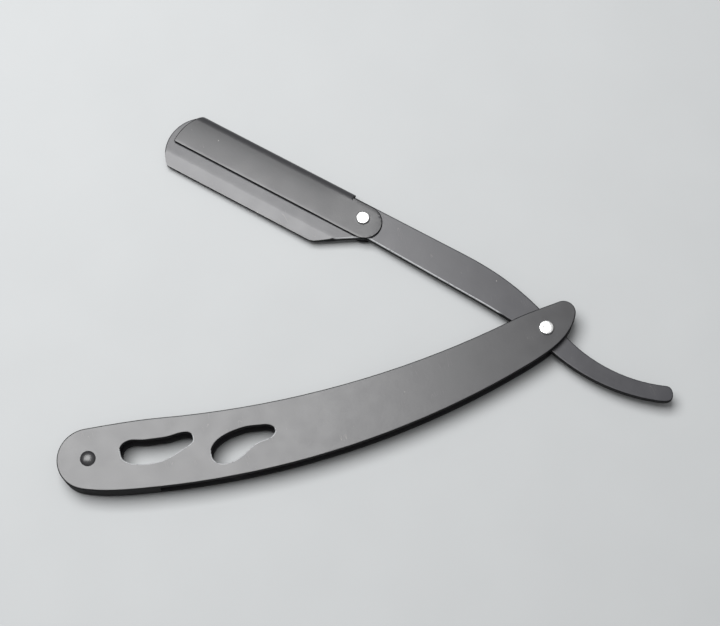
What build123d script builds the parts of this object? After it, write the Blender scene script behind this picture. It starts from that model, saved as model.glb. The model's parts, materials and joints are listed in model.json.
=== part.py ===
from build123d import *
from math import cos, radians, sin, tan
import os

# Folding barber's razor that takes half of a standard double-edge blade.
# The whole razor is flat.  Z runs through its thickness, and the origin is the centre of the
# pivot rivet's lower head, which is the face that the razor lies on.
# The handle lies along -X.  The tang is drawn in its own axes: x from the pivot to the nose,
# y towards the cutting edge, which is the side that folds into the handle.

# ---------------------------------------------------------------- handle
pivot_to_pin = 123.8            # pivot rivet to tail pin
scale_thickness = 0.9           # one side plate of the handle
tail_radius = 8.05              # round end about the tail pin
tail_arc = (84, 165, 244)       # directions from the pin in which the round end starts, runs and ends
top_dip = 0.4                   # lowest point of the concave edge, off the pin line
top_dip_share = 0.436           # where that point lies, from the pivot towards the pin
top_arc_radius = 250.0
belly_drop = -16.15             # lowest point of the convex edge
belly_share = 0.542
belly_arc_radius = 228.5
beak_center = (5.9, 2.95)       # rounded corner beyond the pivot
beak_radius = 3.15
beak_arc = (-28, 30, 95)        # directions in which the beak's arc starts, runs and ends
beak_joint = -8.0               # where the two long edges end and the beak begins
top_end_from_pin = 20.5         # where the concave edge meets the tail end's curve
belly_end_from_pin = 15.0
edge_round = 0.35               # rolled-over edge of the stamped plates

# cut-outs, each a closed curve through points measured from the tail pin
rear_cutout = [(8.3, -0.8), (9.1, 0.85), (11.2, 1.5), (14.0, 0.8), (17.5, 0.15),
               (21.0, -0.3), (24.8, -0.3), (26.8, -1.2), (27.0, -2.8), (24.8, -4.1),
               (21.0, -5.35), (16.9, -5.9), (12.9, -5.3), (9.8, -4.0), (8.4, -2.4)]
front_cutout = [(30.6, -8.1), (31.6, -5.9), (34.0, -4.4), (37.3, -3.65), (41.0, -3.5),
                (44.6, -4.1), (47.1, -5.0), (47.9, -6.4), (46.7, -7.7), (43.9, -8.1),
                (41.0, -8.9), (38.7, -10.15), (36.1, -11.1), (33.2, -11.2), (31.3, -10.2)]

# ---------------------------------------------------------------- tail spacer and its pin
leg_width = 2.6                 # strip along the convex edge
leg_end_from_pin = 15.8
block_end_from_pin = 5.5        # end of the solid block that the tail pin goes through
spacer_corner_round = 1.2
pin_radius = 1.2
pin_head_overhang = 0.8
pin_head_round = 0.5

# ---------------------------------------------------------------- pivot
pivot_radius = 1.4
pivot_head_overhang = 0.55
rivet_head_height = 0.6         # outside the scales, at the pivot and at the tail pin
rivet_head_round = 0.18
washer_wall = 1.6

# ---------------------------------------------------------------- tang: two plates, face to face
opening = 133.9                 # direction of the nose, counted from +X
plate_thickness = 0.95
spine_y = -8.65                 # back of the shank
shank_edge_y = 1.3              # lower edge of the shank, near the pivot
shank_edge_x = 20.0
shank_heel_y = 0.1              # where the shank meets the slanted heel
heel_angle = 32.9               # slant of the heel
edge_y = 8.2                    # straight edge that the blade stands out of
heel_round = 4.0
nose_radius = 10.64             # about a point on the tang's x axis
nose_corner_round = 0.8
neck_top = [(15.5, -7.6), (4.4, -4.8)]      # back of the tang, from the shank over the pivot
neck_join_x = 30.0
tail_top_center = (-19.06, -38.31)
tail_top_radius = 39.52
tail_low_center = (-16.85, -44.33)
tail_low_radius = 50.42
tail_top_span = (-34.4, -5.6)   # stretch of x over which the tail's upper arc runs
tail_low_span = (-32.8, -4.3)
tail_tip = (-37.15, -0.3)

# bevel of the leaves, and the pocket that the half blade lies in
bevel_width = 3.4
bevel_edge_thickness = 0.4
blade_length = 43.0             # half of a double-edge blade, snapped along its middle
blade_width = 11.0
blade_exposure = 0.8            # how far its edge stands out
blade_end_margin = 1.51         # straight edge beyond each end of the blade
pocket_thickness = 0.14
pocket_side_clearance = 0.6
stop_pin_radius = 0.8
stop_pin_spacing = 24.0

# ---------------------------------------------------------------- spine clamp
clamp_sheet = 0.5
clamp_fold_radius = 1.3         # outside radius of the fold
clamp_edge_y = 1.4              # lower edge of the clamp
ear_from_heel = 2.4             # centre of the round ear, along the tang
fold_from_heel = 8.6
clamp_nose_setback = 1.83       # tip of the clamp behind the tip of the leaves
clamp_nose_radius = 13.27
clamp_nose_y = -0.6
rivet_from_heel = 3.3
head_rivet_y = -4.2
head_rivet_radius = 1.2
head_rivet_overhang = 0.63
head_rivet_head_height = 0.5

# ---------------------------------------------------------------- named clearances
pivot_clearance = 0.05          # radial, rivet in the tang plates
rivet_fit = 0.02                # radial, rivets in pieces they are set in
side_clearance = 0.05           # between faces that slide on each other
clamp_seat_gap = 0.4            # back of the leaves to the inside of the fold
fold_clearance = 0.1            # head rivet to the scales, with the razor folded
nose_clearance = 1.3            # tip of the nose to the spacer's block, folded

# ---------------------------------------------------------------- levels through the thickness
clamp_inside = plate_thickness + side_clearance
clamp_outside = clamp_inside + clamp_sheet
head_rivet_reach = clamp_outside + side_clearance
scale_gap = 2 * (head_rivet_reach + head_rivet_head_height + fold_clearance)
washer_thickness = scale_gap / 2 - plate_thickness - side_clearance
back_gap_z = rivet_head_height + scale_thickness
mid_z = back_gap_z + scale_gap / 2
front_gap_z = back_gap_z + scale_gap
front_face_z = front_gap_z + scale_thickness

# ---------------------------------------------------------------- places along the tang
nose_center_x = pivot_to_pin - block_end_from_pin - nose_clearance - nose_radius
nose_tip = (nose_center_x + nose_radius, 0)
nose_back_x = nose_center_x + (nose_radius**2 - spine_y**2) ** 0.5
nose_edge_x = nose_center_x + (nose_radius**2 - edge_y**2) ** 0.5
heel_corner_x = nose_edge_x - blade_length - 2 * blade_end_margin
heel_x = heel_corner_x - (edge_y - shank_heel_y) / tan(radians(heel_angle))
head_rivet_at = (heel_x + rivet_from_heel, head_rivet_y)
blade_center_x = (heel_corner_x + nose_edge_x) / 2
blade_back_y = edge_y + blade_exposure - blade_width
spine_outside_y = spine_y - clamp_seat_gap - clamp_sheet
ear_top_y = spine_outside_y + clamp_fold_radius

pin_at = (-pivot_to_pin, 0)
middle = Plane.XY.offset(mid_z)


def tang_plane(height):
    """Plane at this height whose x runs from the pivot to the nose."""
    direction = (cos(radians(opening)), sin(radians(opening)), 0)
    return Plane(origin=(0, 0, height), x_dir=direction, z_dir=(0, 0, 1))


def section_plane(along):
    """Plane across the tang at this x, with its own x towards the cutting edge."""
    edgewise = (-sin(radians(opening)), cos(radians(opening)), 0)
    origin = tang_plane(mid_z).from_local_coords((along, 0, 0))
    return Plane(origin=origin, x_dir=edgewise, z_dir=tang_plane(mid_z).x_dir)


def on_circle(center, radius, x, side=1):
    """Point of a circle at this x, on its upper (1) or lower (-1) half."""
    return (x, center[1] + side * (radius**2 - (x - center[0]) ** 2) ** 0.5)


def on_ring(center, radius, angle):
    """Point of a circle at this angle."""
    return (center[0] + radius * cos(radians(angle)), center[1] + radius * sin(radians(angle)))


def rolled_edges(plate):
    """Edges of a plate's outer face that are rolled over: all but the rims of its rivet holes."""
    largest_hole = max(pivot_radius, pin_radius, head_rivet_radius) + 2 * pivot_clearance
    outer_face = plate.faces().sort_by(Axis.Z)[-1]
    return outer_face.edges().filter_by(
        lambda edge: edge.geom_type != GeomType.CIRCLE or edge.radius > largest_hole
    )


# ---------------------------------------------------------------- outline of the handle
top_center = (-top_dip_share * pivot_to_pin, top_dip + top_arc_radius)
belly_center = (-belly_share * pivot_to_pin, belly_drop + belly_arc_radius)
top_end_x = top_end_from_pin - pivot_to_pin
belly_end_x = belly_end_from_pin - pivot_to_pin

with BuildSketch() as handle_outline:
    with BuildLine():
        top = ThreePointArc(
            on_circle(top_center, top_arc_radius, beak_joint, -1),
            on_circle(top_center, top_arc_radius, top_center[0], -1),
            on_circle(top_center, top_arc_radius, top_end_x, -1),
        )
        tail = ThreePointArc(*[on_ring(pin_at, tail_radius, angle) for angle in tail_arc])
        belly = ThreePointArc(
            on_circle(belly_center, belly_arc_radius, belly_end_x, -1),
            on_circle(belly_center, belly_arc_radius, belly_center[0], -1),
            on_circle(belly_center, belly_arc_radius, beak_joint, -1),
        )
        beak = ThreePointArc(*[on_ring(beak_center, beak_radius, angle) for angle in beak_arc])
        Spline(top @ 1, tail @ 0, tangents=(top % 1, tail % 0))
        Spline(tail @ 1, belly @ 0, tangents=(tail % 1, belly % 0))
        Spline(belly @ 1, beak @ 0, tangents=(belly % 1, beak % 0))
        Spline(beak @ 1, top @ 0, tangents=(beak % 1, top % 0))
    make_face()

with BuildSketch() as handle_cutouts:
    for points in (rear_cutout, front_cutout):
        with BuildLine():
            Spline([(x - pivot_to_pin, y) for x, y in points], periodic=True)
        make_face()


# ---------------------------------------------------------------- scales
with BuildPart() as front_scale:
    with BuildSketch(Plane.XY.offset(front_gap_z)):
        add(handle_outline.sketch)
        add(handle_cutouts.sketch, mode=Mode.SUBTRACT)
        with Locations(pin_at):
            Circle(pin_radius + rivet_fit, mode=Mode.SUBTRACT)
        Circle(pivot_radius + rivet_fit, mode=Mode.SUBTRACT)
    extrude(amount=scale_thickness)
    fillet(rolled_edges(front_scale), edge_round)
front_scale.part.label = "front_scale"

with BuildPart() as back_scale:
    mirror(front_scale.part, about=middle)
back_scale.part.label = "back_scale"


# ---------------------------------------------------------------- tail spacer
leg_end_x = leg_end_from_pin - pivot_to_pin
block_end_x = block_end_from_pin - pivot_to_pin

with BuildSketch() as spacer_relief:
    with Locations(belly_center):
        Circle(belly_arc_radius - leg_width)
    with Locations((block_end_x, 0)):
        Rectangle(pivot_to_pin, pivot_to_pin, align=(Align.MIN, Align.CENTER), mode=Mode.INTERSECT)

with BuildPart() as tail_spacer:
    with BuildSketch(Plane.XY.offset(back_gap_z)):
        add(handle_outline.sketch)
        add(spacer_relief.sketch, mode=Mode.SUBTRACT)
        with Locations((leg_end_x, 0)):
            Rectangle(pivot_to_pin, pivot_to_pin, align=(Align.MIN, Align.CENTER), mode=Mode.SUBTRACT)
        with Locations(pin_at):
            Circle(pin_radius + rivet_fit, mode=Mode.SUBTRACT)
    extrude(amount=scale_gap)
    inner_corners = tail_spacer.edges().filter_by(Axis.Z).filter_by_position(
        Axis.X, block_end_x - side_clearance, leg_end_x + side_clearance
    )
    fillet(inner_corners.sort_by(Axis.Y)[1:-1], spacer_corner_round)
tail_spacer.part.label = "tail_spacer"


# ---------------------------------------------------------------- rivets of the handle
with BuildPart() as tail_pin:
    with BuildSketch():
        with Locations(pin_at):
            Circle(pin_radius + pin_head_overhang)
    extrude(amount=rivet_head_height)
    with BuildSketch(Plane.XY.offset(rivet_head_height)):
        with Locations(pin_at):
            Circle(pin_radius)
    extrude(amount=front_face_z - rivet_head_height)
    with BuildSketch(Plane.XY.offset(front_face_z)):
        with Locations(pin_at):
            Circle(pin_radius + pin_head_overhang)
    extrude(amount=rivet_head_height)
    end_faces = tail_pin.faces().filter_by(Axis.Z).sort_by(Axis.Z)
    fillet([end_faces[0].edges()[0], end_faces[-1].edges()[0]], pin_head_round)
tail_pin.part.label = "tail_pin"

with BuildPart() as pivot_rivet:
    with BuildSketch():
        Circle(pivot_radius + pivot_head_overhang)
    extrude(amount=rivet_head_height)
    with BuildSketch(Plane.XY.offset(rivet_head_height)):
        Circle(pivot_radius)
    extrude(amount=front_face_z - rivet_head_height)
    with BuildSketch(Plane.XY.offset(front_face_z)):
        Circle(pivot_radius + pivot_head_overhang)
    extrude(amount=rivet_head_height)
    end_faces = pivot_rivet.faces().filter_by(Axis.Z).sort_by(Axis.Z)
    fillet([end_faces[0].edges()[0], end_faces[-1].edges()[0]], rivet_head_round)
pivot_rivet.part.label = "pivot_rivet"

with BuildPart() as pivot_washer_front:
    with BuildSketch(Plane.XY.offset(front_gap_z - washer_thickness)):
        Circle(pivot_radius + washer_wall)
        Circle(pivot_radius + rivet_fit, mode=Mode.SUBTRACT)
    extrude(amount=washer_thickness)
pivot_washer_front.part.label = "pivot_washer_front"

with BuildPart() as pivot_washer_back:
    mirror(pivot_washer_front.part, about=middle)
pivot_washer_back.part.label = "pivot_washer_back"


# ---------------------------------------------------------------- tang plates
stop_pin_y = blade_back_y - stop_pin_radius - side_clearance
stop_pins = [(blade_center_x + side * stop_pin_spacing / 2, stop_pin_y) for side in (-1, 1)]
pocket_length = blade_length + 2 * pocket_side_clearance

with BuildPart() as tang_front_plate:
    with BuildSketch(tang_plane(mid_z)) as tang_outline:
        with BuildLine():
            tail_top = ThreePointArc(
                *[on_circle(tail_top_center, tail_top_radius, x)
                  for x in (tail_top_span[1], sum(tail_top_span) / 2, tail_top_span[0])]
            )
            tail_low = ThreePointArc(
                *[on_circle(tail_low_center, tail_low_radius, x)
                  for x in (tail_low_span[0], sum(tail_low_span) / 2, tail_low_span[1])]
            )
            back = Line((nose_back_x, spine_y), (neck_join_x, spine_y))
            shank_edge = Line((shank_edge_x, shank_edge_y), (heel_x, shank_heel_y))
            Spline(back @ 1, *neck_top, tail_top @ 0, tangents=(back % 1, tail_top % 0))
            Spline(tail_top @ 1, tail_tip, tail_low @ 0, tangents=(tail_top % 1, tail_low % 0))
            Spline(tail_low @ 1, shank_edge @ 0, tangents=(tail_low % 1, shank_edge % 0))
            FilletPolyline(
                (heel_x, shank_heel_y), (heel_corner_x, edge_y), (nose_edge_x, edge_y), radius=heel_round
            )
            ThreePointArc((nose_edge_x, edge_y), nose_tip, (nose_back_x, spine_y))
        make_face()
        Circle(pivot_radius + pivot_clearance, mode=Mode.SUBTRACT)
        with Locations(head_rivet_at):
            Circle(head_rivet_radius + rivet_fit, mode=Mode.SUBTRACT)
        with Locations(stop_pins):
            Circle(stop_pin_radius + rivet_fit, mode=Mode.SUBTRACT)
    extrude(amount=plate_thickness)
    nose_corner = Vector(*tang_plane(mid_z).from_local_coords((nose_edge_x, edge_y)))
    fillet(
        tang_front_plate.edges().filter_by(Axis.Z).sort_by_distance(nose_corner)[0], nose_corner_round
    )
    fillet(rolled_edges(tang_front_plate), edge_round)
    bevel_slope = (plate_thickness - bevel_edge_thickness) / bevel_width
    bevel_reach = 2 * bevel_width
    with BuildSketch(section_plane(heel_x)):
        with BuildLine():
            Polyline(
                (edge_y - bevel_width, plate_thickness),
                (edge_y - bevel_width + bevel_reach, plate_thickness - bevel_slope * bevel_reach),
                (edge_y - bevel_width + bevel_reach, 2 * plate_thickness),
                (edge_y - bevel_width, 2 * plate_thickness),
                close=True,
            )
        make_face()
    extrude(amount=nose_center_x, mode=Mode.SUBTRACT)
    with BuildSketch(tang_plane(mid_z)):
        with Locations((blade_center_x, blade_back_y)):
            Rectangle(pocket_length, blade_width, align=(Align.CENTER, Align.MIN))
    extrude(amount=pocket_thickness / 2, mode=Mode.SUBTRACT)
tang_front_plate.part.label = "tang_front_plate"

with BuildPart() as tang_back_plate:
    mirror(tang_front_plate.part, about=middle)
tang_back_plate.part.label = "tang_back_plate"

with BuildPart() as blade_stop_pins:
    with BuildSketch(tang_plane(mid_z - plate_thickness)):
        with Locations(stop_pins):
            Circle(stop_pin_radius)
    extrude(amount=2 * plate_thickness)
blade_stop_pins.part.label = "blade_stop_pins"


# ---------------------------------------------------------------- spine clamp
ear_radius = (clamp_edge_y - ear_top_y) / 2
ear_x = heel_x + ear_from_heel
fold_x = heel_x + fold_from_heel
fold_depth = 2 * (clamp_edge_y - spine_outside_y)
clamp_tip = (nose_tip[0] - clamp_nose_setback, clamp_nose_y)
clamp_nose_center = (clamp_tip[0] - clamp_nose_radius, clamp_nose_y)


def on_clamp_nose(y):
    """Point of the clamp's rounded nose at this y."""
    return (clamp_nose_center[0] + (clamp_nose_radius**2 - (y - clamp_nose_y) ** 2) ** 0.5, y)


with BuildPart() as spine_clamp:
    with BuildSketch(section_plane(ear_x - 2 * ear_radius)) as fold_section:
        with Locations((spine_outside_y, 0)):
            RectangleRounded(
                fold_depth, 2 * clamp_outside, clamp_fold_radius, align=(Align.MIN, Align.CENTER)
            )
        with Locations((spine_outside_y + clamp_sheet, 0)):
            RectangleRounded(
                fold_depth, 2 * clamp_inside, clamp_fold_radius - clamp_sheet,
                align=(Align.MIN, Align.CENTER), mode=Mode.SUBTRACT,
            )
    extrude(amount=nose_center_x)
    with BuildSketch(tang_plane(mid_z - clamp_outside)):
        with BuildLine():
            nose = ThreePointArc(on_clamp_nose(clamp_edge_y), clamp_tip, on_clamp_nose(spine_outside_y))
            Polyline(nose @ 1, (fold_x, spine_outside_y), (fold_x, ear_top_y), (ear_x, ear_top_y))
            ThreePointArc(
                (ear_x, ear_top_y), (ear_x - ear_radius, ear_top_y + ear_radius), (ear_x, clamp_edge_y)
            )
            Line((ear_x, clamp_edge_y), nose @ 0)
        make_face()
        with Locations(head_rivet_at):
            Circle(head_rivet_radius + pivot_clearance, mode=Mode.SUBTRACT)
    extrude(amount=2 * clamp_outside, mode=Mode.INTERSECT)
spine_clamp.part.label = "spine_clamp"


# ---------------------------------------------------------------- head rivet
with BuildPart() as head_rivet:
    with BuildSketch(tang_plane(mid_z - head_rivet_reach - head_rivet_head_height)):
        with Locations(head_rivet_at):
            Circle(head_rivet_radius + head_rivet_overhang)
    extrude(amount=head_rivet_head_height)
    with BuildSketch(tang_plane(mid_z - head_rivet_reach)):
        with Locations(head_rivet_at):
            Circle(head_rivet_radius)
    extrude(amount=2 * head_rivet_reach)
    with BuildSketch(tang_plane(mid_z + head_rivet_reach)):
        with Locations(head_rivet_at):
            Circle(head_rivet_radius + head_rivet_overhang)
    extrude(amount=head_rivet_head_height)
    end_faces = head_rivet.faces().filter_by(Axis.Z).sort_by(Axis.Z)
    fillet([end_faces[0].edges()[0], end_faces[-1].edges()[0]], rivet_head_round)
head_rivet.part.label = "head_rivet"


# ---------------------------------------------------------------- one STEP file for each piece
os.makedirs("parts", exist_ok=True)
pieces = (
    front_scale, back_scale, tail_spacer, tail_pin, pivot_rivet, pivot_washer_front, pivot_washer_back,
    tang_front_plate, tang_back_plate, blade_stop_pins, head_rivet, spine_clamp,
)
for piece in pieces:
    export_step(piece.part, f"parts/{piece.part.label}.step")
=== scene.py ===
import json
import math
import bmesh
import bpy
from mathutils import Matrix, Vector


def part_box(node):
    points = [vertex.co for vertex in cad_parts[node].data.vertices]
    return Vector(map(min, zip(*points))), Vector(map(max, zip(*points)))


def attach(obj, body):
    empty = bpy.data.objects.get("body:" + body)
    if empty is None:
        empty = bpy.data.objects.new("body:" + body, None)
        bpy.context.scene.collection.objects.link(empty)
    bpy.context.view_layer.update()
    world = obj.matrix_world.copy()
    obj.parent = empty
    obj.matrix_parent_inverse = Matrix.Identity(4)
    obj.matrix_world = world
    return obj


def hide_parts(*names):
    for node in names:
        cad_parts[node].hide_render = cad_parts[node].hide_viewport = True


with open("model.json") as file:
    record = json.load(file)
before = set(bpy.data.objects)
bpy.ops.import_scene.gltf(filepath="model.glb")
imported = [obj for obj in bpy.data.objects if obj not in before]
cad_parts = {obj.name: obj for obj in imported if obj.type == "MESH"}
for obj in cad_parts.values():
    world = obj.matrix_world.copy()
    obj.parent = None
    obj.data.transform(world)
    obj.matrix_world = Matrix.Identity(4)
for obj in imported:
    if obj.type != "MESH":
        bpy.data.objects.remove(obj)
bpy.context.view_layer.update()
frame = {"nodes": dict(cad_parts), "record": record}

# ------------------------------------------------------------------------------ tabletop
# A pale matt laminate top.  The razor lies on the lower heads of its handle and leans over onto
# the nose of its clamp, so in the razor's own frame the top is tilted a little.
MM = 0.001
tilt = math.radians(1.4)
table_side = 6000 * MM
table_normal = Vector((0, -math.sin(tilt), math.cos(tilt)))


def linear(hex_colour):
    """Linear colour of an sRGB hex value."""
    channels = [int(hex_colour[i:i + 2], 16) / 255 for i in (1, 3, 5)]
    return [c / 12.92 if c <= 0.04045 else ((c + 0.055) / 1.055) ** 2.4 for c in channels] + [1.0]


def add(tree, kind, settings, links):
    """New shader node; sockets are named, or numbered where names repeat, and links are outputs."""
    made = tree.nodes.new("ShaderNode" + kind)
    for name, value in settings.items():
        if isinstance(name, int) or name in made.inputs:
            made.inputs[name].default_value = value
        else:
            setattr(made, name, value)
    for name, source in links.items():
        tree.links.new(source, made.inputs[name])
    return made


# matt laminate: the faint mottle of its pressed surface, far too soft to mirror anything
laminate = bpy.data.materials.new("matt_laminate")
laminate.use_nodes = True
tree = laminate.node_tree
surface = tree.nodes["Principled BSDF"]
surface.inputs["Roughness"].default_value = 0.9
place = add(tree, "TexCoord", {}, {}).outputs["Object"]
mottle = add(tree, "TexNoise", {"Scale": 1 / (25 * MM), "Detail": 3.0}, {"Vector": place})
shade = add(
    tree, "Mix", {"data_type": "RGBA", 6: linear("#a8aaab"), 7: linear("#adafb0")},
    {0: mottle.outputs["Fac"]})
tree.links.new(shade.outputs[2], surface.inputs["Base Color"])

shape = bmesh.new()
bmesh.ops.create_grid(shape, x_segments=1, y_segments=1, size=table_side / 2)
bmesh.ops.rotate(shape, verts=shape.verts, matrix=Matrix.Rotation(tilt, 3, "X"))
mesh = bpy.data.meshes.new("tabletop")
shape.to_mesh(mesh)
shape.free()
mesh.materials.append(laminate)
tabletop = bpy.data.objects.new("tabletop", mesh)
bpy.context.scene.collection.objects.link(tabletop)

# ------------------------------------------------------------------------------ camera
# A 75 mm lens held 40 cm off, looking down steeply, with the razor's handle running away to
# the left and its head standing up and to the left beyond the pivot.
aim = Vector((-45.26, 20.17, 0.49)) * MM
heading = math.radians(16.497)
elevation = math.radians(71.5)
distance = 403.2 * MM
right = Vector((math.sin(heading), math.cos(heading), 0)).cross(table_normal).normalized()
away = table_normal.cross(right).normalized()
back = table_normal * math.sin(elevation) - away * math.cos(elevation)
lens = bpy.data.cameras.new("camera")
lens.lens = 75
lens.sensor_width = 36
lens.clip_start = 10 * MM
camera = bpy.data.objects.new("camera", lens)
turn = Matrix((right, back.cross(right), back)).transposed().to_4x4()
camera.matrix_world = Matrix.Translation(aim + back * distance) @ turn
bpy.context.scene.collection.objects.link(camera)
bpy.context.scene.camera = camera

# ------------------------------------------------------------------------------ light
# One large softbox overhead, to the left and beyond the razor, which the satin enamel mirrors, a
# wide dim ceiling over it all, and a faint room, so that walls and rounded edges fall to black.
key_place = Vector((-248, 190, 700)) * MM
key_size = (560 * MM, 500 * MM)
ceiling_place = Vector((0, 0, 1500)) * MM
ceiling_size = (1800 * MM, 1800 * MM)
key_radiance, ceiling_radiance, room_radiance = 10.7, 0.5, 0.2
table_axes = Matrix((right, away, table_normal)).transposed().to_4x4()
table_axes.translation = aim


def softbox(name, place, size, radiance):
    """Rectangular light that hangs at a place on the table's axes and faces straight down on it."""
    lamp = bpy.data.lights.new(name, "AREA")
    lamp.shape = "RECTANGLE"
    lamp.size, lamp.size_y = size
    lamp.energy = radiance * math.pi * size[0] * size[1]
    lamp_object = bpy.data.objects.new(name, lamp)
    lamp_object.matrix_world = table_axes @ Matrix.Translation(place)
    lamp_object.visible_camera = False
    bpy.context.scene.collection.objects.link(lamp_object)


softbox("key_softbox", key_place, key_size, key_radiance)
softbox("ceiling", ceiling_place, ceiling_size, ceiling_radiance)
room = bpy.data.worlds.new("room")
room.use_nodes = True
room.node_tree.nodes["Background"].inputs["Color"].default_value = (1, 1, 1, 1)
room.node_tree.nodes["Background"].inputs["Strength"].default_value = room_radiance
bpy.context.scene.world = room
bpy.context.scene.view_settings.view_transform = "Standard"

# ------------------------------------------------------------------------------ handle scales
# The two side plates of the handle: stamped mild steel, 0.9 mm thick, with rolled-over edges and
# two curved cut-outs, sprayed with black enamel that has rubbed thin round the cut-outs' rims,
# where a pale colour is also a painted highlight.
edge_round = 0.35
rim_reach = Vector((8.5, 2.4, 20.0))       # from a cut-out's opening box to past its rim
rim_rub_and_highlight = 0.7
lit_rim_turn = -0.15                # rims facing away from the convex edge, towards the key light, are pale: wear and painted highlight
edge_slope = 0.9                # faces that lean further than this from flat are part of an edge
drift_size = 5 * MM
dust_spacing = 5 * MM
scratch_turn = math.radians(35)
scratch_width = 0.006           # half the span of the noise's middle that shows as a line
thin_spray = 0.62               # drifts above this are thin enough to be scratched
touching = 0.001                # points closer than this are one point
on_face = 0.01                  # points closer than this to a face lie on it


def tinted(hex_colour, share):
    """Linear colour of a hex value, made lighter or darker by a share."""
    return [channel * share for channel in linear(hex_colour)[:3]] + [1.0]


def black_enamel(name, colour, roughness):
    """Sprayed satin black enamel on steel: even sheen, orange peel, dust, wear and painted edge
    highlights.
    """
    enamel = bpy.data.materials.new(name)
    enamel.use_nodes = True
    tree = enamel.node_tree
    surface = tree.nodes["Principled BSDF"]
    surface.inputs["IOR"].default_value = 1.5
    place = add(tree, "TexCoord", {}, {}).outputs["Object"]
    # drifts of thicker and thinner spray, about 5 mm across
    drift = add(tree, "TexNoise", {"Scale": 1 / drift_size, "Detail": 4.0}, {"Vector": place})
    coat = add(
        tree, "Mix", {"data_type": "RGBA", 6: tinted(colour, 0.85), 7: tinted(colour, 1.15)},
        {0: drift.outputs["Fac"]})
    satin = add(
        tree, "MapRange", {"From Min": 0.3, "From Max": 0.7, "To Min": roughness - 0.03,
                           "To Max": roughness + 0.03}, {"Value": drift.outputs["Fac"]})
    tree.links.new(satin.outputs["Result"], surface.inputs["Roughness"])
    # dust that settled in the wet enamel: pale specks of about 0.3 mm, in some of the cells of 5 mm
    dust = add(tree, "TexVoronoi", {"Scale": 1 / dust_spacing}, {"Vector": place})
    speck = add(
        tree, "MapRange", {"From Min": 0.175 * MM / dust_spacing, "From Max": 0.1 * MM / dust_spacing},
        {"Value": dust.outputs["Distance"]})
    rare = add(tree, "Math", {"operation": "GREATER_THAN", 1: 0.4}, {0: dust.outputs["Color"]})
    specks = add(
        tree, "Math", {"operation": "MULTIPLY"}, {0: speck.outputs["Result"], 1: rare.outputs[0]})
    dusty = add(
        tree, "Mix", {"data_type": "RGBA", 7: linear("#8c8884")},
        {0: specks.outputs[0], 6: coat.outputs[2]})
    # hairline scratches: thin contours of a noise drawn out to 8 mm, where the spray is thin
    drawn = add(
        tree, "Mapping", {"Rotation": (0, 0, scratch_turn), "Scale": (1, 0.12, 1)}, {"Vector": place})
    contour = add(
        tree, "TexNoise", {"Scale": 1 / (1 * MM), "Detail": 0.0}, {"Vector": drawn.outputs["Vector"]})
    middle = add(
        tree, "Math", {"operation": "COMPARE", 1: 0.5, 2: scratch_width}, {0: contour.outputs["Fac"]})
    thin = add(tree, "Math", {"operation": "GREATER_THAN", 1: thin_spray}, {0: drift.outputs["Fac"]})
    scratches = add(
        tree, "Math", {"operation": "MULTIPLY"}, {0: middle.outputs[0], 1: thin.outputs[0]})
    scratched = add(
        tree, "Mix", {"data_type": "RGBA", 7: linear("#504e4d")},
        {0: scratches.outputs[0], 6: dusty.outputs[2]})
    # pale grey primer on the edges a piece marks: rubbed-through enamel and a painted highlight
    rubbed_and_highlight = add(tree, "Attribute", {"attribute_name": "rubbed_and_highlight"}, {})
    grain = add(tree, "TexNoise", {"Scale": 1 / (0.6 * MM), "Detail": 2.0}, {"Vector": place})
    patchy = add(tree, "MapRange", {"From Min": 0.2, "From Max": 0.45}, {"Value": grain.outputs["Fac"]})
    bare_primer_and_highlight = add(
        tree, "Math", {"operation": "MULTIPLY"}, {0: rubbed_and_highlight.outputs["Fac"], 1: patchy.outputs["Result"]})
    finish = add(
        tree, "Mix", {"data_type": "RGBA", 7: linear("#bcbec0")},
        {0: bare_primer_and_highlight.outputs[0], 6: scratched.outputs[2]})
    tree.links.new(finish.outputs[2], surface.inputs["Base Color"])
    # orange peel: dimples 0.8 mm across and a few microns deep
    peel = add(tree, "TexNoise", {"Scale": 1 / (0.8 * MM), "Detail": 2.0}, {"Vector": place})
    relief = add(
        tree, "Bump", {"Strength": 1.0, "Distance": 0.008 * MM}, {"Height": peel.outputs["Fac"]})
    tree.links.new(relief.outputs["Normal"], surface.inputs["Normal"])
    return enamel


def dull_edge_painted_shade():
    """Enamel on sheared and rolled edges: a thin dull coat on rough steel, darker than the faces as
    painted shade.
    """
    coat = bpy.data.materials.new("dull_edge_enamel_painted_shade")
    coat.use_nodes = True
    tree = coat.node_tree
    surface = tree.nodes["Principled BSDF"]
    surface.inputs["Roughness"].default_value = 0.75
    surface.inputs["Specular IOR Level"].default_value = 0.15
    place = add(tree, "TexCoord", {}, {}).outputs["Object"]
    # torn grain of the sheared steel, 0.3 mm across, between two tones darker than the faces: painted
    # shade
    grain = add(tree, "TexNoise", {"Scale": 1 / (0.3 * MM), "Detail": 3.0}, {"Vector": place})
    shade = add(
        tree, "Mix", {"data_type": "RGBA", 6: linear("#0c0c0d"), 7: linear("#1c1c1e")},
        {0: grain.outputs["Fac"]})
    tree.links.new(shade.outputs[2], surface.inputs["Base Color"])
    relief = add(
        tree, "Bump", {"Strength": 1.0, "Distance": 0.02 * MM}, {"Height": grain.outputs["Fac"]})
    tree.links.new(relief.outputs["Normal"], surface.inputs["Normal"])
    return coat


def mark_edges(shape, rubbed_and_highlight):
    """Gives the dark second material, painted shade, to each plate edge not marked pale."""
    shape.normal_update()
    for face in shape.faces:
        if abs(face.normal.z) < edge_slope and not any(vert[rubbed_and_highlight] for vert in face.verts):
            face.material_index = 1


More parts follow.
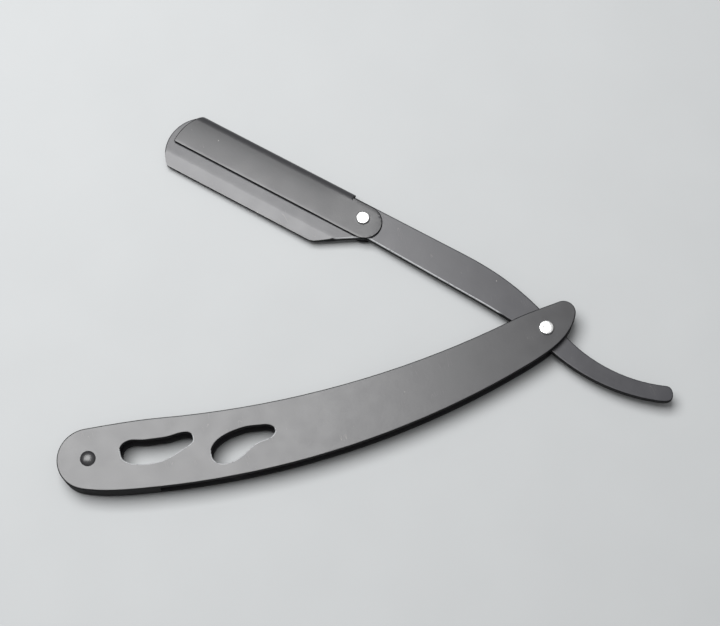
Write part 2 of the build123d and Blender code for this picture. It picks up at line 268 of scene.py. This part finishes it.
def plate_copy(node_name):
    """A CAD plate in millimetres, its loose triangles joined and its flat areas made whole."""
    shape = bmesh.new()
    shape.from_mesh(frame["nodes"][node_name].data)
    bmesh.ops.scale(shape, vec=(1 / MM,) * 3, verts=shape.verts)
    bmesh.ops.remove_doubles(shape, verts=shape.verts, dist=2 * touching)
    bmesh.ops.dissolve_limit(
        shape, angle_limit=math.radians(0.3), verts=shape.verts, edges=shape.edges,
        use_dissolve_boundaries=False, delimit=set(),
    )
    return shape


def on_rolled_edge(vert, face_z):
    """Whether a point lies between the outer face of a plate, at a height, and its straight edge."""
    return on_face < abs(vert.co.z - face_z) < 0.95 * edge_round


def finish_piece(name, shape, materials, body, stands_for, sharp=40):
    """Object of a shape in millimetres: smooth but for sharp edges, on its body, for its CAD node."""
    mesh = bpy.data.meshes.new(name)
    bmesh.ops.scale(shape, vec=(MM,) * 3, verts=shape.verts)
    shape.to_mesh(mesh)
    shape.free()
    mesh.shade_smooth()
    mesh.set_sharp_from_angle(angle=math.radians(sharp))
    for material in materials:
        mesh.materials.append(material)
    piece = bpy.data.objects.new(name, mesh)
    bpy.context.scene.collection.objects.link(piece)
    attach(piece, body)
    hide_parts(stands_for)
    return piece


def even_shading(piece):
    """Flat faces keep their own direction, so that only the rounded edges turn the light."""
    weighted = piece.modifiers.new("even_shading", "WEIGHTED_NORMAL")
    weighted.keep_sharp = True


handle_enamel = black_enamel("black_enamel_handle", "#303032", 0.32)
# edges and walls of the plates get a darker enamel: painted shade
edge_enamel_painted_shade = dull_edge_painted_shade()
openings = frame["record"]["physics"]["openings"]
cutouts = [o["box_m"] for o in openings if o["name"].endswith("cutout")]

# each plate with the end of its box that faces out: the high end, 1, or the low end, 0
for side, outer in (("front", 1), ("back", 0)):
    outer_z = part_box(side + "_scale")[outer][2] / MM
    shape = plate_copy(side + "_scale")
    rubbed_and_highlight = shape.verts.layers.float.new("rubbed_and_highlight")
    for vert in shape.verts:
        for low, high in cutouts:
            low, high = Vector(low) / MM - rim_reach, Vector(high) / MM + rim_reach
            at_rim = low.x < vert.co.x < high.x and low.y < vert.co.y < high.y
            # rims that lean towards the key light are painted pale: rubbing and a painted highlight
            if on_rolled_edge(vert, outer_z) and at_rim and vert.normal.y > lit_rim_turn:
                vert[rubbed_and_highlight] = rim_rub_and_highlight
    mark_edges(shape, rubbed_and_highlight)
    even_shading(finish_piece(
        side + "_handle_scale", shape, (handle_enamel, edge_enamel_painted_shade), "handle",
        side + "_scale"))

# ------------------------------------------------------------------------------ tail spacer
# A solid steel block with a leg, which keeps the scales apart at the tail.  It is cut to their
# outline, held by the tail pin, and enamelled with them; it gets the dark edge enamel, whose darker
# colour is painted shade between the scales.
spacer = frame["nodes"]["tail_spacer"]
# darker edge enamel on the spacer's walls: painted shade
spacer.data.materials.clear()
spacer.data.materials.append(edge_enamel_painted_shade)

# ------------------------------------------------------------------------------ tail pin
# A steel pin through both scales and the spacer.  Its ends are pressed into low mushroom heads,
# and it is enamelled glossier than the scales, since it is dipped and not sprayed.
pin_head_radius = 2.0
pin_rim_height = 0.12
dome_steps = 8


def turned(profile, centre, steps=72, closed=False):
    """Solid in millimetres spun about an upright axis from its (radius, height, rounding) corners."""
    shape = bmesh.new()
    corners = [shape.verts.new((radius, 0, height)) for radius, height, _ in profile]
    pairs = list(zip(corners, corners[1:])) + ([(corners[-1], corners[0])] if closed else [])
    for pair in pairs:
        shape.edges.new(pair)
    for corner, (_, _, rounding) in zip(corners, profile):
        if rounding:
            bmesh.ops.bevel(
                shape, geom=[corner], offset=rounding, offset_type="OFFSET", segments=4,
                profile=0.5, affect="VERTICES", material=-1,
            )
    bmesh.ops.spin(
        shape, geom=shape.verts[:] + shape.edges[:], cent=(0, 0, 0), axis=(0, 0, 1), dvec=(0, 0, 0),
        angle=math.tau, steps=steps, use_merge=True,
    )
    bmesh.ops.remove_doubles(shape, verts=shape.verts, dist=touching)
    bmesh.ops.recalc_face_normals(shape, faces=shape.faces)
    bmesh.ops.translate(shape, verts=shape.verts, vec=(centre[0], centre[1], 0))
    return shape


def centre_of(node_name):
    """Middle of a CAD node in millimetres."""
    low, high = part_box(node_name)
    return (Vector(low) + Vector(high)) / 2 / MM


def levels_of(node_name):
    """Lowest and highest z of a CAD node in millimetres."""
    low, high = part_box(node_name)
    return low[2] / MM, high[2] / MM


pin_enamel = black_enamel("dipped_black_enamel", "#222224", 0.28)
pin_high = levels_of("tail_pin")[1]
back_face = levels_of("back_scale")[0]
front_face = levels_of("front_scale")[1]
pin_radius = 1.2
head_height = pin_high - front_face
dome_rise = head_height - pin_rim_height
dome_radius = (pin_head_radius**2 + dome_rise**2) / (2 * dome_rise)


def dome(face, outward):
    """Corners of a low mushroom head from its middle to its rim, then in to the pin's shank."""
    corners = []
    for step in range(dome_steps + 1):
        radius = pin_head_radius * step / dome_steps
        drop = dome_radius - math.sqrt(dome_radius**2 - radius**2)
        corners.append((radius, face + outward * (head_height - drop), 0))
    return corners + [(pin_head_radius, face, 0), (pin_radius, face, 0)]


pin = turned(dome(back_face, -1) + dome(front_face, 1)[::-1], centre_of("tail_pin"))
finish_piece("domed_tail_pin", pin, [pin_enamel], "handle", "tail_pin")

# ------------------------------------------------------------------------------ pivot washers
# Two plain steel washers on the pivot rivet, which fill the room between the tang and the scales.
# They are stamped, so their corners are slightly rounded.
washer_outer = 3.0
washer_inner = 1.42
washer_round = 0.12
arc_spacing = 1.57 * MM


def steel(name, colour, roughness):
    """Bare steel: dull patches, and faint arcs about the pivot's axis where it was ground."""
    metal = bpy.data.materials.new(name)
    metal.use_nodes = True
    tree = metal.node_tree
    surface = tree.nodes["Principled BSDF"]
    surface.inputs["Metallic"].default_value = 1.0
    place = add(tree, "TexCoord", {}, {}).outputs["Object"]
    patches = add(tree, "TexNoise", {"Scale": 1 / (0.9 * MM), "Detail": 4.0}, {"Vector": place})
    tone = add(
        tree, "Mix", {"data_type": "RGBA", 6: tinted(colour, 0.88), 7: linear(colour)},
        {0: patches.outputs["Fac"]})
    tree.links.new(tone.outputs[2], surface.inputs["Base Color"])
    dull = add(
        tree, "MapRange", {"From Min": 0.3, "From Max": 0.7, "To Min": roughness - 0.05,
                           "To Max": roughness + 0.08}, {"Value": patches.outputs["Fac"]})
    tree.links.new(dull.outputs["Result"], surface.inputs["Roughness"])
    # a wave of scale 1 repeats every tau / 20 units
    arcs = add(
        tree, "TexWave", {"wave_type": "RINGS", "rings_direction": "Z", "Distortion": 1.5, "Detail": 2.0,
                          "Scale": math.tau / (20 * arc_spacing)}, {"Vector": place})
    relief = add(
        tree, "Bump", {"Strength": 0.5, "Distance": 0.0006 * MM}, {"Height": arcs.outputs["Fac"]})
    tree.links.new(relief.outputs["Normal"], surface.inputs["Normal"])
    return metal


washer_steel = steel("plain_steel_washer", "#9a9a9c", 0.42)
for side in ("front", "back"):
    node_name = "pivot_washer_" + side
    low, high = levels_of(node_name)
    ring = [(washer_inner, low, 0), (washer_outer, low, washer_round),
            (washer_outer, high, washer_round), (washer_inner, high, 0)]
    shape = turned(ring, centre_of(node_name), closed=True)
    finish_piece(side + "_pivot_washer", shape, [washer_steel], "handle", node_name)

# ------------------------------------------------------------------------------ pivot rivet
# The bright steel rivet that the head turns on.  Its ends are peened over the scales to flat
# heads with rounded rims, and rubbed bright, slightly dished in the middle.
pivot_head_radius = 1.95
pivot_shank_radius = 1.4
rivet_rim_round = 0.3
dish = 0.03


def rivet(head_radius, shank_radius, levels, seats, centre):
    """Rivet with a flat, slightly dished head at each end; seats are the heads' inner faces."""
    (low, high), (low_seat, high_seat) = levels, seats
    return turned([
        (0, low + dish, 0), (head_radius / 2, low, 0), (head_radius, low, rivet_rim_round),
        (head_radius, low_seat, 0), (shank_radius, low_seat, 0),
        (shank_radius, high_seat, 0), (head_radius, high_seat, 0),
        (head_radius, high, rivet_rim_round), (head_radius / 2, high, 0), (0, high - dish, 0),
    ], centre)


bright_steel = steel("peened_bright_steel", "#e2e2e2", 0.24)
shape = rivet(
    pivot_head_radius, pivot_shank_radius, levels_of("pivot_rivet"), (back_face, front_face), (0, 0))
finish_piece("peened_pivot_rivet", shape, [bright_steel], "handle", "pivot_rivet")

# ------------------------------------------------------------------------------ tang plates
# Two stamped steel plates, face to face: tail, shank and hollowed leaf in one piece.  The leaf's
# long edge is pressed to a bevel, whose crease is soft, and a pale painted highlight runs along
# the rolled edges of shank and heel.
opening = math.radians(133.9)
crease_y = 4.8
crease_half_width = 0.5
press_line_y = 3.9              # faint ridge left by the press beside the crease
press_line_half_width = 0.3
press_line_height = 0.01
shank_highlight = 0.7
shank_highlight_span = (13.0, 75.0)  # along the tang, and from this far across it to the crease
shank_highlight_y = -1.2
to_tang = Matrix.Rotation(-opening, 3, "Z")
from_tang = Matrix.Rotation(opening, 3, "Z")
tang_enamel = black_enamel("black_enamel_tang", "#323236", 0.31)

for side, outer in (("front", 1), ("back", 0)):
    node_name = "tang_" + side + "_plate"
    outer_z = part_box(node_name)[outer][2] / MM
    shape = plate_copy(node_name)
    bmesh.ops.rotate(shape, verts=shape.verts, matrix=to_tang)
    for line_y, half_width in ((crease_y, crease_half_width), (press_line_y, press_line_half_width)):
        for offset in (-half_width, 0, half_width):
            bmesh.ops.bisect_plane(
                shape, geom=shape.verts[:] + shape.edges[:] + shape.faces[:], dist=touching,
                plane_co=(0, line_y + offset, 0), plane_no=(0, 1, 0))
    rubbed_and_highlight = shape.verts.layers.float.new("rubbed_and_highlight")
    for vert in shape.verts:
        along, across, level = vert.co
        on_line = abs(level - outer_z) < on_face and abs(across - press_line_y) < on_face
        shank_highlight_zone = shank_highlight_span[0] < along < shank_highlight_span[1] and shank_highlight_y < across < crease_y
        # the shank's lower rolled edge is painted pale: a painted highlight
        if on_rolled_edge(vert, outer_z) and shank_highlight_zone:
            vert[rubbed_and_highlight] = shank_highlight
        if on_line:
            vert.co.z += press_line_height if outer else -press_line_height
    bmesh.ops.rotate(shape, verts=shape.verts, matrix=from_tang)
    mark_edges(shape, rubbed_and_highlight)
    even_shading(finish_piece(
        side + "_tang", shape, (tang_enamel, edge_enamel_painted_shade), "tang", node_name))

# ------------------------------------------------------------------------------ blade stop pins
# Two plain steel pins pressed through both plates, which the back of the half blade rests
# against.  They are hidden between the leaves.
stop_pins = frame["nodes"]["blade_stop_pins"]
stop_pins.data.materials.clear()
stop_pins.data.materials.append(steel("plain_steel_pin", "#a4a4a6", 0.4))

# ------------------------------------------------------------------------------ spine clamp
# One strip of spring steel, about half a millimetre thick, folded round the back of the leaves,
# which it squeezes on the blade.  It swings on the head rivet, and its free edges stand a little
# proud of the leaves.
sheet = 0.45
clamp_low, clamp_high = levels_of("spine_clamp")
mid_level = (clamp_low + clamp_high) / 2
half_thick = (clamp_high - clamp_low) / 2
spine_y = -9.55                 # outside of the fold, on the tang's axes
fold_depth = 2.1                # the fold is half an ellipse, flatter than round
lower_edge_y = 1.4
ear_x, ear_radius = 57.0, 4.825
ear_top_y = lower_edge_y - 2 * ear_radius
fold_start_x = 63.2
nose_centre = Vector((101.9, -0.6, 0))
nose_radius = 13.27
rivet_x, rivet_y = 57.9, -4.2
rivet_hole = 1.25
spring = 0.2                    # how far the free edge stands off
spring_from, spring_full = 61.5, 74.0
cross_cuts = (-7.0, -6.3, -5.5, -4.5, -3.3, -2.1, -0.8, 0.4)
length_cuts = 7
rim_width = 0.2                 # stamped rims are rounded over this width, and this far down
rim_drop = 0.1
nose_steps, ear_steps, fold_steps = 14, 24, 8
fold_y = spine_y + fold_depth


def nose_x(across):
    """Where the clamp's rounded nose lies, this far across it."""
    return nose_centre.x + math.sqrt(nose_radius**2 - (across - nose_centre.y) ** 2)


def eased(along):
    """Share of the full spring this far along: none at the rivet, all of it towards the nose."""
    share = min(max((along - spring_from) / (spring_full - spring_from), 0), 1)
    return share * share * (3 - 2 * share)


# the flat blank's outline, with the fold's edge along its back
shape = bmesh.new()
nose_low = shape.verts.new((nose_x(lower_edge_y), lower_edge_y, 0))
nose_span = math.asin((lower_edge_y - nose_centre.y) / nose_radius) + math.asin(
    (nose_centre.y - fold_y) / nose_radius)
spun = bmesh.ops.spin(
    shape, geom=[nose_low], cent=nose_centre, axis=(0, 0, -1), dvec=(0, 0, 0), angle=nose_span,
    steps=nose_steps)
nose_high = spun["geom_last"][0]
ear_high = shape.verts.new((ear_x, ear_top_y, 0))
spun = bmesh.ops.spin(
    shape, geom=[ear_high], cent=(ear_x, ear_top_y + ear_radius, 0), axis=(0, 0, -1), dvec=(0, 0, 0),
    angle=math.pi, steps=ear_steps)
ear_low = spun["geom_last"][0]
fold_corner = shape.verts.new((fold_start_x, fold_y, 0))
step_corner = shape.verts.new((fold_start_x, ear_top_y, 0))
straights = (
    (nose_high, fold_corner), (fold_corner, step_corner), (step_corner, ear_high), (ear_low, nose_low))
for pair in straights:
    shape.edges.new(pair)
bmesh.ops.create_circle(
    shape, segments=32, radius=rivet_hole, matrix=Matrix.Translation((rivet_x, rivet_y, 0)))
bmesh.ops.triangle_fill(shape, use_beauty=True, use_dissolve=False, edges=shape.edges)
# a narrow border all round, of which the part along the fold keeps the enamel of the faces;
# the rest gets the darker edge enamel, painted shade
border = bmesh.ops.inset_region(
    shape, faces=shape.faces[:], thickness=rim_width, use_boundary=True, use_even_offset=True)
for face in border["faces"]:
    off_fold = max(vert.co.y for vert in face.verts) > fold_y + rim_width + touching
    if off_fold or face.calc_center_median().x < fold_start_x:
        face.material_index = 1
# lines across and along the blank, so that it can be sprung to a gentle curve
cuts = [((0, y, 0), (0, 1, 0)) for y in cross_cuts]
spacing = (spring_full - spring_from) / (length_cuts - 1)
cuts += [((spring_from + spacing * i, 0, 0), (1, 0, 0)) for i in range(length_cuts)]
for point, normal in cuts:
    bmesh.ops.bisect_plane(
        shape, geom=shape.verts[:] + shape.edges[:] + shape.faces[:], dist=touching, plane_co=point,
        plane_no=normal)
for vert in shape.verts:
    across = min(max((vert.co.y - fold_y) / (lower_edge_y - fold_y), 0), 1)
    vert.co.z = half_thick + spring * eased(vert.co.x) * (1 - (1 - across) ** 3)
    on_fold = vert.co.y < fold_y + touching and vert.co.x > fold_start_x - touching
    if vert.is_boundary and not on_fold:
        vert.co.z -= rim_drop
# half of the fold is spun off the blank's back edge, stretched, and cut to the nose's curve
back_edges = [edge for edge in shape.edges if all(
    abs(v.co.y - fold_y) < touching and v.co.x > fold_start_x - touching for v in edge.verts)]
back_verts = list({vert for edge in back_edges for vert in edge.verts})
bmesh.ops.spin(
    shape, geom=back_verts + back_edges, cent=(0, fold_y, 0), axis=(1, 0, 0), dvec=(0, 0, 0),
    angle=math.pi / 2, steps=fold_steps)
bmesh.ops.remove_doubles(shape, verts=shape.verts, dist=touching)
for vert in shape.verts:
    past_ear = vert.co.x > fold_start_x - touching
    if past_ear and vert.co.y < fold_y - touching and vert.co.z < half_thick - touching:
        at_nose = vert.co.x > nose_x(fold_y) - on_face
        depth = (fold_y - vert.co.y) / half_thick
        # the fold leaves the blank at the slope that the spring gives its back edge
        slope = 3 * spring / (lower_edge_y - fold_y) * eased(vert.co.x)
        vert.co.y = fold_y - depth * fold_depth
        vert.co.z -= slope * fold_depth * depth * (1 - depth)
        if at_nose:
            vert.co.x = nose_x(vert.co.y)
bmesh.ops.mirror(
    shape, geom=shape.verts[:] + shape.edges[:] + shape.faces[:], axis="Z", merge_dist=touching)
bmesh.ops.remove_doubles(shape, verts=shape.verts, dist=touching)
bmesh.ops.recalc_face_normals(shape, faces=shape.faces)
bmesh.ops.translate(shape, verts=shape.verts, vec=(0, 0, mid_level))
bmesh.ops.rotate(shape, verts=shape.verts, matrix=from_tang)
clamp_enamel = black_enamel("black_enamel_clamp", "#303032", 0.34)
clamp = finish_piece(
    "folded_spine_clamp", shape, (clamp_enamel, edge_enamel_painted_shade), "clamp", "spine_clamp")
wall = clamp.modifiers.new("sheet_thickness", "SOLIDIFY")
wall.thickness = sheet * MM
wall.offset = -1
wall.use_even_offset = True
# the sheet's cut walls get the darker edge enamel: painted shade
wall.material_offset_rim = 1
even_shading(clamp)

# ------------------------------------------------------------------------------ head rivet
# The bright steel rivet that holds the leaves together at the heel and lets the clamp swing.
# It is set like the pivot rivet, with smaller heads.
head_rivet_radius = 1.83
head_shank_radius = 1.2
head_rivet_height = 0.5
low, high = levels_of("head_rivet")
shape = rivet(
    head_rivet_radius, head_shank_radius, (low, high),
    (low + head_rivet_height, high - head_rivet_height), centre_of("head_rivet"))
finish_piece("peened_head_rivet", shape, [bright_steel], "tang", "head_rivet")
